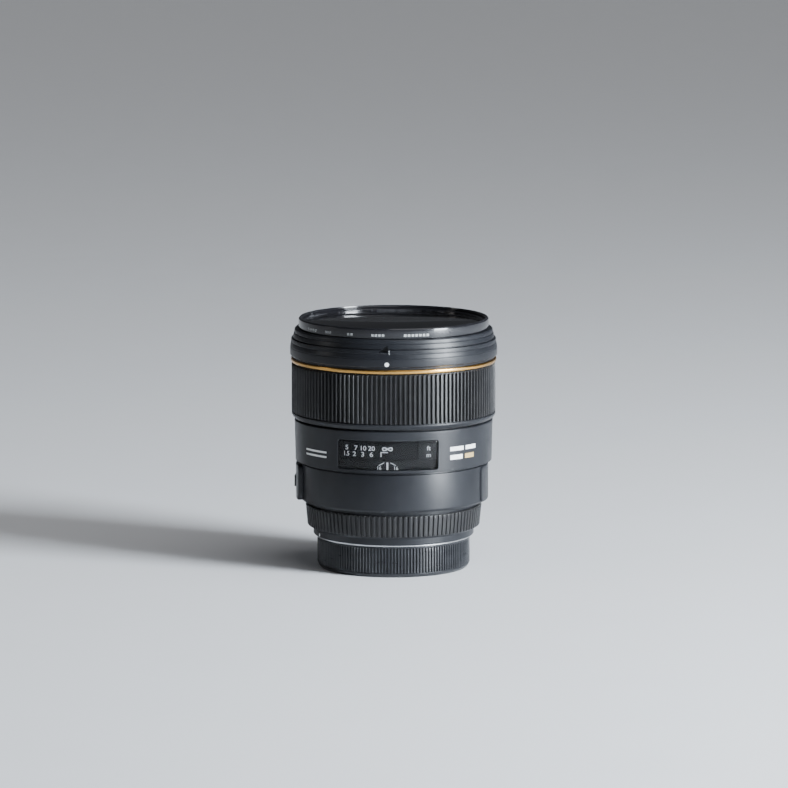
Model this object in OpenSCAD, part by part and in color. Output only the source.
// Fixed focal length camera lens with an autofocus drive, standing on its rear cap
// with a screw-in filter on the front. Millimetres, optical axis along +Z, origin in
// the middle of the cap's underside, focus scale window facing -Y.

/* [Rear cap and mount] */
// Outer radius of the rear cap
cap_r = 32; // [31.8:0.1:32.2]
// Height of the rear cap's wall
cap_h = 12.9; // [12.7:0.1:12.9]
// Ribs round the rear cap
cap_rib_count = 148; // [100:1:160]
// Height of the mounting face
mount_z = 13.2; // [13.2:0.05:13.3]
// Outer radius of the metal mount flange
flange_r = 32.6; // [32.4:0.1:32.8]
// Outer radius of the bayonet tube
bayonet_r = 25.4; // [25.3:0.1:25.5]
// Number of bayonet lugs
lug_count = 3; // [3:1:3]

/* [Barrel] */
// Outer radius of the rear grip ring
rear_grip_r = 36; // [35.8:0.1:36.2]
// Outer radius of the rear grip ring at its upper end
rear_grip_top_r = 36.9; // [36.4:0.1:37]
// Ribs round the rear grip ring
rear_rib_count = 105; // [80:1:120]
// Outer radius of the lower barrel
lower_r = 39; // [38.8:0.1:39.1]
// Outer radius of the window barrel at its foot
window_barrel_r = 41; // [40.9:0.1:41.1]
// Outer radius of the window barrel at its top
window_barrel_top_r = 41.4; // [41.3:0.1:41.5]
// Height of the window's lower edge
window_z = 46.3; // [46.3:0.1:47]
// Height of the window
window_h = 12.4; // [11:0.1:12.6]
// Half of the angle that the window spans
window_half = 31; // [20:1:35]

/* [Focus ring] */
// Outer radius of the focus ring's rubber
grip_r = 42.6; // [42.4:0.1:42.7]
// Ribs round the focus ring
grip_rib_count = 135; // [100:1:150]
// Height of the lower end of the ribs
grip_z = 65.5; // [65.3:0.1:65.7]
// Height of the ribbed band
grip_h = 20.5; // [20:0.1:20.5]

/* [Front] */
// Outer radius of the metal trim band
gold_r = 42.9; // [42.7:0.1:43]
// Largest radius of the front ring
front_r = 43.2; // [43.1:0.1:43.3]
// Radius of the front filter thread
thread_r = 38.4; // [38.4:0.05:38.5]
// Outer radius of the screw-in filter
filter_r = 39.6; // [39.5:0.1:40]
// Height of the whole lens with cap and filter
total_h = 105; // [104.8:0.1:105.5]

/* [Mechanism] */
// Turn of the focus ring from far to near
focus_angle = 92; // [60:1:92]
// Lift of the focusing group over that turn
focus_travel = 8; // [6:0.5:8]
// Diaphragm blades
blade_count = 9; // [9:1:9]
// Turn of the diaphragm's drive ring from open to closed
iris_turn = 20; // [15:1:20]
// Turn of a blade for each degree of the drive ring
blade_ratio = 1.7; // [1.5:0.1:1.7]
// Teeth in a full circle of the diaphragm's drive ring
ring_teeth = 125; // [125:1:125]
// Teeth of the motor pinion
pinion_teeth = 11; // [11:1:11]

/* [Hidden] */
$fn = 96;
fine_fn = 256;
front = -90;
left = 180;
right = 0;
rear = 90;

// mount and skirt
mount_inner_r = 24.5;
flange_t = 0.45;
spigot_z = mount_z + 2.2;
skirt_z = mount_z + flange_t;
skirt_r = 33.6;
skirt_top_z = 17.9;
rear_grip_z = 17.6;
rear_grip_top_z = 26.6;
sleeve_in_r = 33.6;
sleeve_r = 34.4;
collar_r = 35.2;
lower_z = 28.4;
lug_half = 20;
lug_angle = 360 / lug_count;
screw_count = 4;
screw_at_r = 28.9;
screw_head_r = 1.55;
screw_r = 0.8;
screw_head_z = mount_z + 1.1;

// barrel levels
groove_z = 44.2;
wb_z = 45.2;
wb_top_z = 62.5;
casing_in_r = 39.7;
neck_r = 38.4;
lower_in_r = 37.6;
panel_half = 18;
panel_z = 28.9;
panel_top_z = 43.9;
panel_r = 40.9;
badge_r = 39.6;

// tubes inside the barrel
tube_in_r = 31.5;
tube_r = 33;
fit = 0.06;
cam_in_r = tube_r + fit;
cam_r = 34.9;
cam_z = 31;
cam_top_z = 76;
follower_r = 1.5;
follower_z = 37;
follower_count = 3;
slot_gap = 0.15;
scale_angle = focus_angle / 2;
guide_in_r = 38.3;
guide_r = 39.3;
guide_top_z = 78.9;
core_in_r = guide_r + fit;
core_r = 41;
drum_in_r = 38.2;
drum_r = 39;

// roller drive
drive_in_r = 35.4;
drive_r = 37.9;
roller_z = 74.7;
roller_r = 2;
roller_bore_r = 0.6;
roller_pin_r = 0.55;
rotor_z = 69.6;
rotor_top_z = 72.6;

// front
front_z = 88.3;
front_top_z = 100.6;
front_tube_top_z = 97;
shoulder_r = 42.8;
shoulder_z = 94.2;
hood_groove_z = 96.4;
hood_groove_top_z = 96.9;
hood_groove_r = 42;
front_edge_r = 41.3;
barrel_nose_r = 38.9;
filter_thread_r = thread_r - 0.1;
filter_seat_z = total_h - 3.6;
filter_bore_r = filter_r - 1.5;
filter_thread_h = 1.15;
glass_bore_r = filter_bore_r - 0.45;
filter_lip_r = 36.4;
glass_t = 1.8;
mark_depth = 0.4;
mark_proud = 0.02;
hood_dot_r = 0.95;
hood_dot_z = 90.6;
hood_line_w = 0.4;
hood_line_h = 1.7;
hood_line_z = 95.3;
hood_line_turn = 1.1;
mount_dot_r = 0.65;
mount_dot_z = 14.95;
mount_dot_at = front - 63;

// diaphragm
iris_z = 55;
blade_z = 56.1;
blade_step = 0.14;
blade_t = 0.08;
blade_in_r = 18.5;
blade_out_r = 27.4;
blade_pivot_r = 28.4;
blade_pin_at_r = 28.2;
blade_pin_turn = -6;
pivot_pin_r = 0.45;
drive_pin_r = 0.4;
drive_slot_r = 0.48;
drive_ring_z = 57.9;
drive_ring_t = 0.8;
drive_ring_r = 30.97;
drive_ring_in_r = 21.9;
ring_hub_top_z = 60.5;
motor_plate_z = 61;
pinion_turn = 60;
gear_module = 0.4;
ring_pitch_r = gear_module * ring_teeth / 2;
pinion_pitch_r = gear_module * pinion_teeth / 2;
pinion_at_r = ring_pitch_r + pinion_pitch_r;
tooth_out = 0.35;
tooth_in = 0.5;
tooth_tip_w = 0.22;
tooth_root_w = 0.52;
motor_shaft_r = 0.5;

BLADES = [for (i = [1:blade_count]) str("iris_blade_", i)];
ROLLERS = [for (i = [1:3]) str("drive_roller_", i)];

// Point at a radius and an angle
function polar(r, a) = [r * cos(a), r * sin(a)];

// Outline with n ribs: each is a land at r and a valley that is depth lower
function rib_outline(n, r, depth, land) = [
  for (i = [0:n - 1])
    for (p = [[-land / 2, 0], [land / 2, 0], [land / 2 + 0.12, depth], [0.88 - land / 2, depth]])
      polar(r - p[1], (i + p[0]) * 360 / n)
];

// The four points of one gear tooth that points along angle a
function tooth(r, a) = [
  for (p = [[-tooth_root_w, -tooth_in], [-tooth_tip_w, tooth_out],
            [tooth_tip_w, tooth_out], [tooth_root_w, -tooth_in]])
    polar(r + p[1], a + p[0] / 2 / (r + p[1]) * 180 / PI)
];

// Place of a blade's drive pin, seen from the drive ring, when the ring has turned by t
function drive_pin_path(t) =
  let (
    pivot = [blade_pivot_r, 0],
    arm = polar(blade_pin_at_r, blade_pin_turn) - pivot,
    b = t * blade_ratio,
    at = pivot + [arm[0] * cos(b) - arm[1] * sin(b), arm[0] * sin(b) + arm[1] * cos(b)]
  )
  [at[0] * cos(t) + at[1] * sin(t), at[1] * cos(t) - at[0] * sin(t)];

// Outline of a slot of half width w along the drive pin's path
function drive_slot_outline(w, steps = 10) =
  let (
    p = [for (i = [0:steps]) drive_pin_path(i * iris_turn / steps)],
    d = [for (i = [0:steps]) p[min(i + 1, steps)] - p[max(i - 1, 0)]],
    a = [for (v = d) atan2(v[1], v[0])]
  )
  concat(
    [for (i = [0:steps]) p[i] + polar(w, a[i] - 90)],
    [for (k = [1:5]) p[steps] + polar(w, a[steps] - 90 + k * 30)],
    [for (i = [steps:-1:0]) p[i] + polar(w, a[i] + 90)],
    [for (k = [1:5]) p[0] + polar(w, a[0] + 90 + k * 30)]
  );

// Faces of a four-cornered section swept through n stations
function sweep_faces(n, closed) = concat(
  [
    for (i = [0:(closed ? n - 1 : n - 2)])
      for (k = [0:3])
        let (next = (i + 1) % n, m = (k + 1) % 4)
        for (f = [[4 * i + k, 4 * i + m, 4 * next + m], [4 * i + k, 4 * next + m, 4 * next + k]])
          f
  ],
  closed ? [] : [[3, 2, 1, 0], [for (k = [0:3]) 4 * (n - 1) + k]]
);

// Arc of points from one angle to another
function arc(r, from, to, steps) = [for (i = [0:steps]) polar(r, from + (to - from) * i / steps)];

// Outline of a diaphragm blade whose pivot is at angle 0: a curved band with a head
function blade_outline() = concat(
  arc(blade_in_r, 3, 125, 30),
  arc(blade_out_r, 125, 7, 30),
  arc(29.3, 3, -7, 5),
  [polar(28.2, -8.3), polar(27.2, -7), polar(27.2, -2)]
);

// Ring between two radii and two heights
module ring(r_in, r_out, z0, z1) {
  rotate_extrude() translate([r_in, z0]) square([r_out - r_in, z1 - z0]);
}

// Part of a ring, half degrees to each side of angle mid
module sector(r_in, r_out, z0, z1, mid, half) {
  rotate([0, 0, mid - half])
    rotate_extrude(angle = 2 * half)
      translate([r_in, z0])
        square([r_out - r_in, z1 - z0]);
}

// Cylinder that lies along a radius
module radial_rod(r, from_r, to_r, z, a) {
  rotate([0, 0, a]) translate([from_r, 0, z]) rotate([0, 90, 0]) cylinder(r = r, h = to_r - from_r);
}

// Box that lies along a radius
module radial_box(width, height, from_r, to_r, z, a) {
  rotate([0, 0, a])
    translate([from_r, -width / 2, z - height / 2])
      cube([to_r - from_r, width, height]);
}

// Revolved profile
module turned(points) {
  rotate_extrude() polygon(points);
}

// Ribbed ring with a round bore, grow times as wide at its upper end
module ribbed_ring(n, r_in, r_out, depth, land, z0, z1, grow = 1) {
  translate([0, 0, z0])
    difference() {
      linear_extrude(z1 - z0, scale = grow) polygon(rib_outline(n, r_out, depth, land));
      translate([0, 0, -1]) cylinder(r = r_in, h = z1 - z0 + 2, $fn = fine_fn);
    }
}

// Half plane profile of a spherical surface: a disc of radius s whose top is at z when
// s is positive, or whose bottom is at z when s is negative
module surface_disc(z, s) {
  translate([0, z - s]) circle(r = abs(s), $fn = fine_fn);
}

// Glass element between two spherical surfaces. Positive radii bulge towards the front.
module glass_element(rim_r, front_vertex, front_s, rear_vertex, rear_s, z0, z1) {
  rotate_extrude($fn = fine_fn)
    difference() {
      intersection() {
        translate([0, z0]) square([rim_r, z1 - z0]);
        if (front_s > 0) surface_disc(front_vertex, front_s);
        if (rear_s < 0) surface_disc(rear_vertex, rear_s);
      }
      if (front_s < 0) surface_disc(front_vertex, front_s);
      if (rear_s > 0) surface_disc(rear_vertex, rear_s);
    }
}

// ---- front ----

module filter_ring() {
  color("#101113")
    turned([
      [filter_lip_r, 98], [filter_thread_r, 98], [filter_thread_r, front_top_z + 0.1],
      [filter_r, front_top_z + 0.1], [filter_r, total_h - 0.3], [filter_r - 0.3, total_h],
      [filter_bore_r, total_h], [filter_bore_r, total_h - filter_thread_h],
      [glass_bore_r, total_h - filter_thread_h], [glass_bore_r, filter_seat_z],
      [filter_lip_r, filter_seat_z]
    ]);
}

module filter_glass() {
  color("#20263280") ring(0, glass_bore_r - 0.1, filter_seat_z, filter_seat_z + glass_t);
}

module filter_retaining_ring() {
  color("#18191b")
    difference() {
      ring(filter_lip_r + 0.2, glass_bore_r - 0.02, filter_seat_z + glass_t, filter_seat_z + glass_t + 0.6);
      for (a = [left, right]) radial_box(1.2, 1.4, 36, 37.1, filter_seat_z + glass_t + 0.6, a);
    }
}

module front_ring() {
  color("#1b1d20")
    difference() {
      turned([
        [barrel_nose_r, front_z], [42, front_z], [42, 89.2], [42.8, 89.2], [front_r, 89.6],
        [front_r, shoulder_z - 0.7], [shoulder_r, shoulder_z], [shoulder_r, hood_groove_z],
        [hood_groove_r, hood_groove_z], [hood_groove_r, hood_groove_top_z],
        [front_edge_r, front_top_z - 0.4], [front_edge_r - 0.4, front_top_z],
        [thread_r, front_top_z], [thread_r, front_tube_top_z],
        [barrel_nose_r, front_tube_top_z]
      ]);
      radial_rod(hood_dot_r, front_r - mark_depth, front_r + 1, hood_dot_z, front);
      radial_box(
        hood_line_w, hood_line_h, shoulder_r - mark_depth, front_r + 1, hood_line_z,
        front + hood_line_turn
      );
    }
}

module index_marks() {
  color("#e8e8e4") {
    radial_rod(hood_dot_r, front_r - mark_depth, front_r + mark_proud, hood_dot_z, front);
    radial_box(
      hood_line_w, hood_line_h, shoulder_r - mark_depth, shoulder_r + mark_proud, hood_line_z,
      front + hood_line_turn
    );
    radial_rod(mount_dot_r, skirt_r - 0.5, skirt_r + mark_proud, mount_dot_z, mount_dot_at);
  }
}

module gold_ring() {
  color("#a8864a")
    turned([
      [barrel_nose_r, 86.6], [gold_r - 0.4, 86.6], [gold_r, 87], [gold_r, 87.9],
      [gold_r - 0.4, front_z], [barrel_nose_r, front_z]
    ]);
}

module front_trim_ring() {
  color("#141517")
    turned([
      [30.8, 89.8], [32, 89.8], [32, front_tube_top_z], [36.8, front_tube_top_z],
      [36.8, front_tube_top_z + 0.6], [31.4, front_tube_top_z + 0.6], [30.8, 91]
    ]);
}

// ---- focus ring ----

module focus_ring_core() {
  color("#1d1f22")
    turned([
      [core_in_r, 63.3], [41.7, 63.3], [grip_r, grip_z - 0.6], [grip_r, grip_z],
      [core_r, grip_z], [core_r, 86.2], [core_in_r, 86.2], [core_in_r, 80.7],
      [drive_in_r, 80.7], [drive_in_r, 79.2], [core_in_r, 79.2]
    ]);
}

module focus_grip_rubber() {
  color("#17181a") ribbed_ring(grip_rib_count, core_r, grip_r, 0.7, 0.56, grip_z, grip_z + grip_h);
}

module manual_drive_ring() {
  color("#8c8e92") ring(drive_in_r, drive_r, roller_z + roller_r + 0.1, 79.2);
}

// ---- barrel ----

module window_barrel() {
  color("#1b1d20")
    difference() {
      turned([
        [lower_in_r, wb_z], [window_barrel_r - 0.4, wb_z], [window_barrel_r, wb_z + 0.4],
        [window_barrel_top_r, wb_top_z - 0.4], [window_barrel_top_r - 0.4, wb_top_z],
        [guide_in_r, wb_top_z], [guide_in_r, wb_top_z - 0.9], [casing_in_r, wb_top_z - 0.9],
        [casing_in_r, wb_z + 1], [lower_in_r, wb_z + 1]
      ]);
      sector(39.2, 43, window_z, window_z + window_h, front, window_half);
    }
}

module distance_window() {
  color("#30363c80")
    sector(39.9, 41.1, window_z + 0.05, window_z + window_h - 0.05, front, window_half - 0.1);
}

module lower_barrel() {
  color("#191b1e")
    turned([
      [34.6, lower_z], [lower_r - 0.6, lower_z], [lower_r, lower_z + 0.6], [lower_r, groove_z],
      [neck_r, groove_z], [neck_r, wb_z], [lower_in_r, wb_z], [lower_in_r, lower_z + 1.5],
      [34.6, lower_z + 1.5]
    ]);
}

module switch_panel() {
  color("#16171a")
    difference() {
      sector(lower_r, panel_r, panel_z, panel_top_z, left, panel_half);
      translate([-43, -5, 33.4]) cube([3.4, 10, 5.2]);
    }
}

module mode_switch() {
  color("#232528") {
    difference() {
      translate([-41.3, -4.7, 33.7]) cube([1.6, 6.4, 4.6]);
      for (i = [-2:2]) translate([-42, -1.5 + i - 0.2, 33]) cube([1.1, 0.4, 6]);
    }
  }
}

module badge_plate() {
  color("#202225") sector(lower_r, badge_r, panel_z, panel_top_z, right, panel_half + 0.5);
}

module rear_grip_ring() {
  color("#191a1c")
    ribbed_ring(
      rear_rib_count, sleeve_r, rear_grip_r, 0.5, 0.6, rear_grip_z, rear_grip_top_z,
      rear_grip_top_r / rear_grip_r
    );
}

module mount_skirt() {
  color("#1a1c1f")
    difference() {
      turned([
        [26.5, spigot_z], [31.1, spigot_z], [31.1, skirt_z], [flange_r, skirt_z],
        [skirt_r, skirt_z + 0.6], [skirt_r, rear_grip_z - 1], [sleeve_r, rear_grip_z],
        [sleeve_r, rear_grip_top_z],
        [collar_r, rear_grip_top_z], [collar_r, lower_z], [34.6, lower_z], [34.6, 30.4],
        [sleeve_in_r, 30.4], [sleeve_in_r, 22], [31.8, 22], [31.8, 20.6],
        [sleeve_in_r, 20.6], [sleeve_in_r, skirt_top_z], [26.5, skirt_top_z]
      ]);
      radial_rod(mount_dot_r, skirt_r - 0.5, skirt_r + 1, mount_dot_z, mount_dot_at);
      for (i = [0:screw_count - 1])
        rotate([0, 0, 45 + i * 90])
          translate([screw_at_r, 0, spigot_z - 1])
            cylinder(r = screw_r, h = 3.2);
    }
}

module mount_flange() {
  color("#c9ccd0")
    difference() {
      union() {
        turned([
          [mount_inner_r, 7.7], [bayonet_r, 7.7], [bayonet_r, mount_z], [flange_r, mount_z],
          [flange_r, skirt_z], [31, skirt_z], [31, spigot_z], [mount_inner_r, spigot_z]
        ]);
        for (i = [0:lug_count - 1])
          sector(bayonet_r - 0.2, bayonet_r + 1.5, 8, 9.5, rear + i * lug_angle, lug_half);
      }
      for (i = [0:screw_count - 1])
        rotate([0, 0, 45 + i * 90])
          translate([screw_at_r, 0, mount_z - 1]) {
            cylinder(r = screw_head_r + 0.05, h = screw_head_z - mount_z + 1);
            cylinder(r = screw_r + 0.05, h = 5);
          }
    }
}

module mount_screws() {
  color("#b9bcc0")
    for (i = [0:screw_count - 1])
      rotate([0, 0, 45 + i * 90])
        translate([screw_at_r, 0, 0])
          difference() {
            union() {
              translate([0, 0, mount_z + 0.1])
                cylinder(r = screw_head_r, h = screw_head_z - mount_z - 0.1);
              translate([0, 0, screw_head_z]) cylinder(r = screw_r, h = 3.2);
            }
            for (a = [0, 90])
              rotate([0, 0, a]) translate([-1.1, -0.2, mount_z]) cube([2.2, 0.4, 0.6]);
          }
}

module contact_block() {
  color("#111214")
    difference() {
      sector(21.5, 24.3, 8, 12.9, rear, 30);
      for (i = [0:9]) contact_pin(i, 0.62, 0, 3.02);
    }
}

// One contact pin's place: pins stand side by side along the block
module contact_pin(i, r, proud, depth) {
  rotate([0, 0, rear + (i - 4.5) * 5.6])
    translate([22.9, 0, 8 - proud])
      cylinder(r = r, h = depth + proud);
}

module contact_pins() {
  color("#d3ac58") for (i = [0:9]) contact_pin(i, 0.6, 0.15, 3);
}

module rear_baffle() {
  color("#101113")
    difference() {
      ring(0, mount_inner_r - 0.05, 11.8, 12.6);
      translate([-15, -11, 11]) cube([30, 22, 3]);
      sector(21.3, 26, 11, 13, rear, 31);
    }
}

module circuit_board() {
  color("#1f5a3a") {
    difference() {
      ring(22.6, 33.4, skirt_top_z, skirt_top_z + 1.2);
      sector(20, 24.5, 17, 20, rear, 12);
    }
    for (i = [0:6])
      radial_box(4 + (i % 3), 1.2, 25.5, 29 + (i % 2), skirt_top_z + 1.7, 20 + i * 47);
  }
}

// ---- tubes and cams ----

module main_tube() {
  color("#3a3d41")
    difference() {
      turned([
        [tube_in_r, 22], [33.5, 22], [33.5, 23.5], [tube_r, 23.5], [tube_r, 82],
        [barrel_nose_r, 82], [barrel_nose_r, front_tube_top_z], [36.9, front_tube_top_z],
        [36.9, 83.5], [tube_in_r, 83.5]
      ]);
      for (i = [0:follower_count - 1])
        radial_box(
          2 * (follower_r + slot_gap / 2), focus_travel + 3.6, 30, 34.5,
          follower_z + focus_travel / 2, rear + i * 360 / follower_count
        );
    }
}

module focus_guide_tube() {
  color("#3a3d41")
    turned([
      [guide_in_r, wb_top_z], [guide_r, wb_top_z], [guide_r, guide_top_z],
      [guide_in_r, guide_top_z], [guide_in_r, 64.4], [35.2, 64.4], [35.2, 63.4],
      [guide_in_r, 63.4]
    ]);
}

// Helical slot with round ends, seen from the cam ring. A station is its distance along
// the helix, from the near end, and the slot's half width there.
module cam_slot(a) {
  steps = 20;
  run = scale_angle * PI / 180 * cam_r;
  slope = atan(focus_travel / run);
  length = run / cos(slope);
  half_w = follower_r + slot_gap;
  stations = concat(
    [for (k = [5:-1:1]) [length + half_w * sin(k * 17), half_w * cos(k * 17)]],
    [for (i = [steps:-1:0]) [length * i / steps, half_w]],
    [for (k = [1:5]) [-half_w * sin(k * 17), half_w * cos(k * 17)]]
  );
  points = [
    for (s = stations)
      for (c = [[32, -1], [36, -1], [36, 1], [32, 1]])
        let (
          along = s[0] * cos(slope) - c[1] * s[1] * sin(slope),
          up = s[0] * sin(slope) + c[1] * s[1] * cos(slope),
          turn = a - along / cam_r * 180 / PI
        )
        [c[0] * cos(turn), c[0] * sin(turn), follower_z + up]
  ];
  polyhedron(points, sweep_faces(len(stations), false));
}

module cam_ring() {
  color("#5b5e63")
    difference() {
      ring(cam_in_r, cam_r, cam_z, cam_top_z);
      for (i = [0:follower_count - 1]) cam_slot(rear + i * 360 / follower_count);
    }
}

module cam_followers() {
  color("#b98d3e")
    for (i = [0:follower_count - 1]) {
      a = rear + i * 360 / follower_count;
      radial_rod(follower_r, 31.5, 34.6, follower_z, a);
      radial_rod(0.8, 28.6, 31.6, follower_z, a);
    }
}

module distance_drum() {
  color("#0e0f10") {
    ring(drum_in_r, drum_r, 46.5, 61);
    for (i = [0:2]) sector(cam_r, drum_in_r + 0.3, 60, 61, 30 + i * 120, 7.5);
  }
}

// ---- roller drive and ring motor ----

module roller_carrier() {
  color("#6e7176") {
    ring(cam_r, 36, 72.9, 76);
    for (i = [0:2]) radial_rod(roller_pin_r, 35.5, drive_r + 0.1, roller_z, 30 + i * 120);
  }
}

module drive_roller(i) {
  color("#c8cacd")
    difference() {
      radial_rod(roller_r, 36.2, 37.8, roller_z, 30 + (i - 1) * 120);
      radial_rod(roller_bore_r, 36, 38, roller_z, 30 + (i - 1) * 120);
    }
}

module motor_rotor() {
  color("#9a9da2")
    turned([
      [drive_in_r, rotor_z], [drive_r, rotor_z], [drive_r, rotor_top_z - 0.3],
      [drive_r - 0.3, rotor_top_z], [drive_in_r + 0.3, rotor_top_z],
      [drive_in_r, rotor_top_z - 0.3]
    ]);
}

module motor_stator() {
  color("#b07b3f")
    difference() {
      ring(drive_in_r, drive_r, 65.5, 69.5);
      for (i = [0:35]) radial_box(0.6, 3, 35, 39, 69.5, i * 10);
    }
}

// Wavy spring washer that presses the stator against the rotor
module motor_wave_washer() {
  steps = 72;
  t = 0.3;
  amplitude = 0.25;
  corners = [[35.7, -t / 2], [37.8, -t / 2], [37.8, t / 2], [35.7, t / 2]];
  points = [
    for (i = [0:steps - 1])
      for (c = corners)
        [c[0] * cos(i * 360 / steps), c[0] * sin(i * 360 / steps),
         64.95 + c[1] + amplitude * sin(3 * i * 360 / steps)]
  ];
  color("#a5a8ad") polyhedron(points, sweep_faces(steps, true));
}

// ---- fixed front optics ----

module front_cell() {
  color("#2b2d31")
    turned([
      [21.2, 61], [23.8, 61], [23.8, 72.5], [31.45, 76], [31.45, 83.5], [36.8, 83.5],
      [36.8, 85.5], [34.6, 85.5], [34.6, 96.9], [32.05, 96.9], [32.05, 87.1],
      [27.55, 87.1], [27.55, 76.3], [22.55, 76.3], [22.55, 61.6], [21.2, 61.6]
    ]);
}

module element_1() {
  color("#8fb0c060") glass_element(32, 96, 75, 88.5, 400, 80, 96.1);
}

module element_2() {
  color("#8fb0c060") glass_element(27.5, 87.9, 48, 79.4, 130, 70, 88);
}

module front_doublet() {
  color("#8fb0c060") {
    glass_element(22.5, 78.8, 52, 70.81, -400, 65, 79);
    glass_element(22.5, 70.79, -400, 68.6, 30, 61.6, 75);
  }
}

// ---- diaphragm ----

module iris_base() {
  color("#26282b")
    difference() {
      turned([
        [18.2, iris_z], [31.4, iris_z], [31.4, motor_plate_z], [31.05, motor_plate_z],
        [31.05, iris_z + 1], [18.2, iris_z + 1]
      ]);
      for (i = [0:blade_count - 1])
        rotate([0, 0, i * 360 / blade_count])
          translate([blade_pivot_r, 0, iris_z - 1])
            cylinder(r = pivot_pin_r + 0.05, h = 3);
    }
}

module iris_blade(i) {
  z = blade_z + (i - 1) * blade_step;
  middle_z = z + blade_t / 2;
  color("#151617")
    rotate([0, 0, (i - 1) * 360 / blade_count]) {
      translate([0, 0, z]) linear_extrude(blade_t) polygon(blade_outline());
      translate([blade_pivot_r, 0, iris_z + 0.1])
        cylinder(r = pivot_pin_r, h = middle_z - iris_z - 0.1);
      rotate([0, 0, blade_pin_turn])
        translate([blade_pin_at_r, 0, middle_z])
          cylinder(r = drive_pin_r, h = drive_ring_z + drive_ring_t - 0.05 - middle_z);
    }
}

module iris_drive_ring() {
  tooth_pitch = 360 / ring_teeth;
  reach = 10;
  middle = pinion_turn - round(iris_turn / 2 / tooth_pitch) * tooth_pitch;
  color("#3c3f43")
    union() {
      difference() {
        ring(drive_ring_in_r, drive_ring_r, drive_ring_z, drive_ring_z + drive_ring_t);
        for (i = [0:blade_count - 1])
          rotate([0, 0, i * 360 / blade_count])
            translate([0, 0, drive_ring_z - 1])
              linear_extrude(3)
                polygon(drive_slot_outline(drive_slot_r));
      }
      ring(drive_ring_in_r, 24.3, drive_ring_z + drive_ring_t - 0.2, ring_hub_top_z);
      translate([0, 0, drive_ring_z + drive_ring_t - 0.1])
        linear_extrude(ring_hub_top_z - drive_ring_z - drive_ring_t + 0.1)
          polygon(concat(
            [for (k = [-reach:reach - 1])
              each tooth(ring_pitch_r, middle + (k + 0.5) * tooth_pitch)],
            [for (k = [reach:-2:-reach]) polar(23, middle + k * tooth_pitch)]
          ));
    }
}

module iris_pinion() {
  color("#c9a04a")
    rotate([0, 0, pinion_turn])
      translate([pinion_at_r, 0, 0])
        rotate([0, 0, 180]) {
          translate([0, 0, drive_ring_z + drive_ring_t + 0.2])
            linear_extrude(1.7)
              polygon([
                for (k = [0:pinion_teeth - 1])
                  each tooth(pinion_pitch_r, k * 360 / pinion_teeth)
              ]);
          translate([0, 0, drive_ring_z + drive_ring_t + 1])
            cylinder(r = motor_shaft_r, h = 5.2);
        }
}

module iris_motor_plate() {
  color("#2e3034")
    difference() {
      ring(23.8, 31.4, motor_plate_z, motor_plate_z + 0.8);
      rotate([0, 0, pinion_turn])
        translate([pinion_at_r, 0, motor_plate_z - 1])
          cylinder(r = 0.8, h = 3);
    }
}

module iris_motor() {
  color("#8f9297")
    rotate([0, 0, pinion_turn])
      translate([pinion_at_r, 0, motor_plate_z + 0.8])
        difference() {
          union() {
            cylinder(r = 3, h = 8.4);
            cylinder(r = 2.2, h = 9.6);
          }
          translate([0, 0, -1]) cylinder(r = motor_shaft_r + 0.05, h = 6);
        }
}

// ---- focusing group ----

module focus_cell() {
  color("#2b2d31")
    difference() {
      turned([
        [15, 13], [21, 13], [21, 30], [31.42, 30], [31.42, 44], [29.6, 44],
        [29.6, 32.5], [21, 32.5], [21, 44], [19.05, 44], [19.05, 29.6], [18.55, 29.6],
        [18.55, 24.6], [17.55, 24.6], [17.55, 17.7], [16.05, 17.7], [16.05, 13.3],
        [15, 13.3]
      ]);
      for (i = [0:follower_count - 1])
        radial_rod(0.8, 28, 33, follower_z, rear + i * 360 / follower_count);
    }
}

module rear_doublet_1() {
  color("#8fb0c060") {
    glass_element(19, 39.5, -60, 37.71, 45, 30, 43);
    glass_element(19, 37.69, 45, 30.7, -200, 30, 42);
  }
}

module element_7() {
  color("#8fb0c060") glass_element(18.5, 30.2, 80, 26, -250, 25, 31);
}

module rear_doublet_2() {
  color("#8fb0c060") {
    glass_element(17.5, 25.5, 120, 21.01, -90, 20, 26);
    glass_element(17.5, 20.99, -90, 19.6, 120, 17.8, 24);
  }
}

module rear_singlets() {
  color("#8fb0c060") {
    glass_element(16, 19.2, 80, 15.9, -300, 15, 20);
    glass_element(16, 15.5, -250, 14, 200, 13, 17);
  }
}

// ---- rear cap ----

module rear_cap() {
  color("#151618")
    difference() {
      union() {
        turned([
          [0, 0], [cap_r - 1.1, 0], [cap_r - 0.4, 0.9], [cap_r - 0.4, 1.6],
          [cap_r - 0.7, 1.6], [cap_r - 0.7, 12.2], [cap_r, 12.2], [cap_r, cap_h],
          [30.3, cap_h], [30.3, 1.8], [0, 1.8]
        ]);
        ribbed_ring(cap_rib_count, 31, cap_r - 0.1, 0.45, 0.56, 1.6, 12.2);
        for (i = [0:lug_count - 1])
          sector(25.9, 30.6, 9.9, 11.2, rear + i * lug_angle, lug_half);
      }
      translate([0, 0, -1]) ring(20, 24, 0, 1.5);
    }
}

filter_ring();
filter_glass();
filter_retaining_ring();
front_ring();
index_marks();
gold_ring();
window_barrel();
distance_window();
lower_barrel();
switch_panel();
badge_plate();
rear_grip_ring();
mount_skirt();
mount_flange();
mount_screws();
contact_block();
contact_pins();
rear_baffle();
front_trim_ring();
focus_ring_core();
focus_grip_rubber();
manual_drive_ring();
cam_ring();
roller_carrier();
distance_drum();
for (i = [1:3])
  drive_roller(i);
motor_wave_washer();
motor_stator();
motor_rotor();
main_tube();
focus_guide_tube();
front_cell();
element_1();
element_2();
front_doublet();
iris_base();
iris_drive_ring();
iris_motor_plate();
iris_motor();
iris_pinion();
for (i = [1:blade_count])
  iris_blade(i);
focus_cell();
rear_doublet_1();
element_7();
rear_doublet_2();
rear_singlets();
cam_followers();
mode_switch();
rear_cap();
circuit_board();
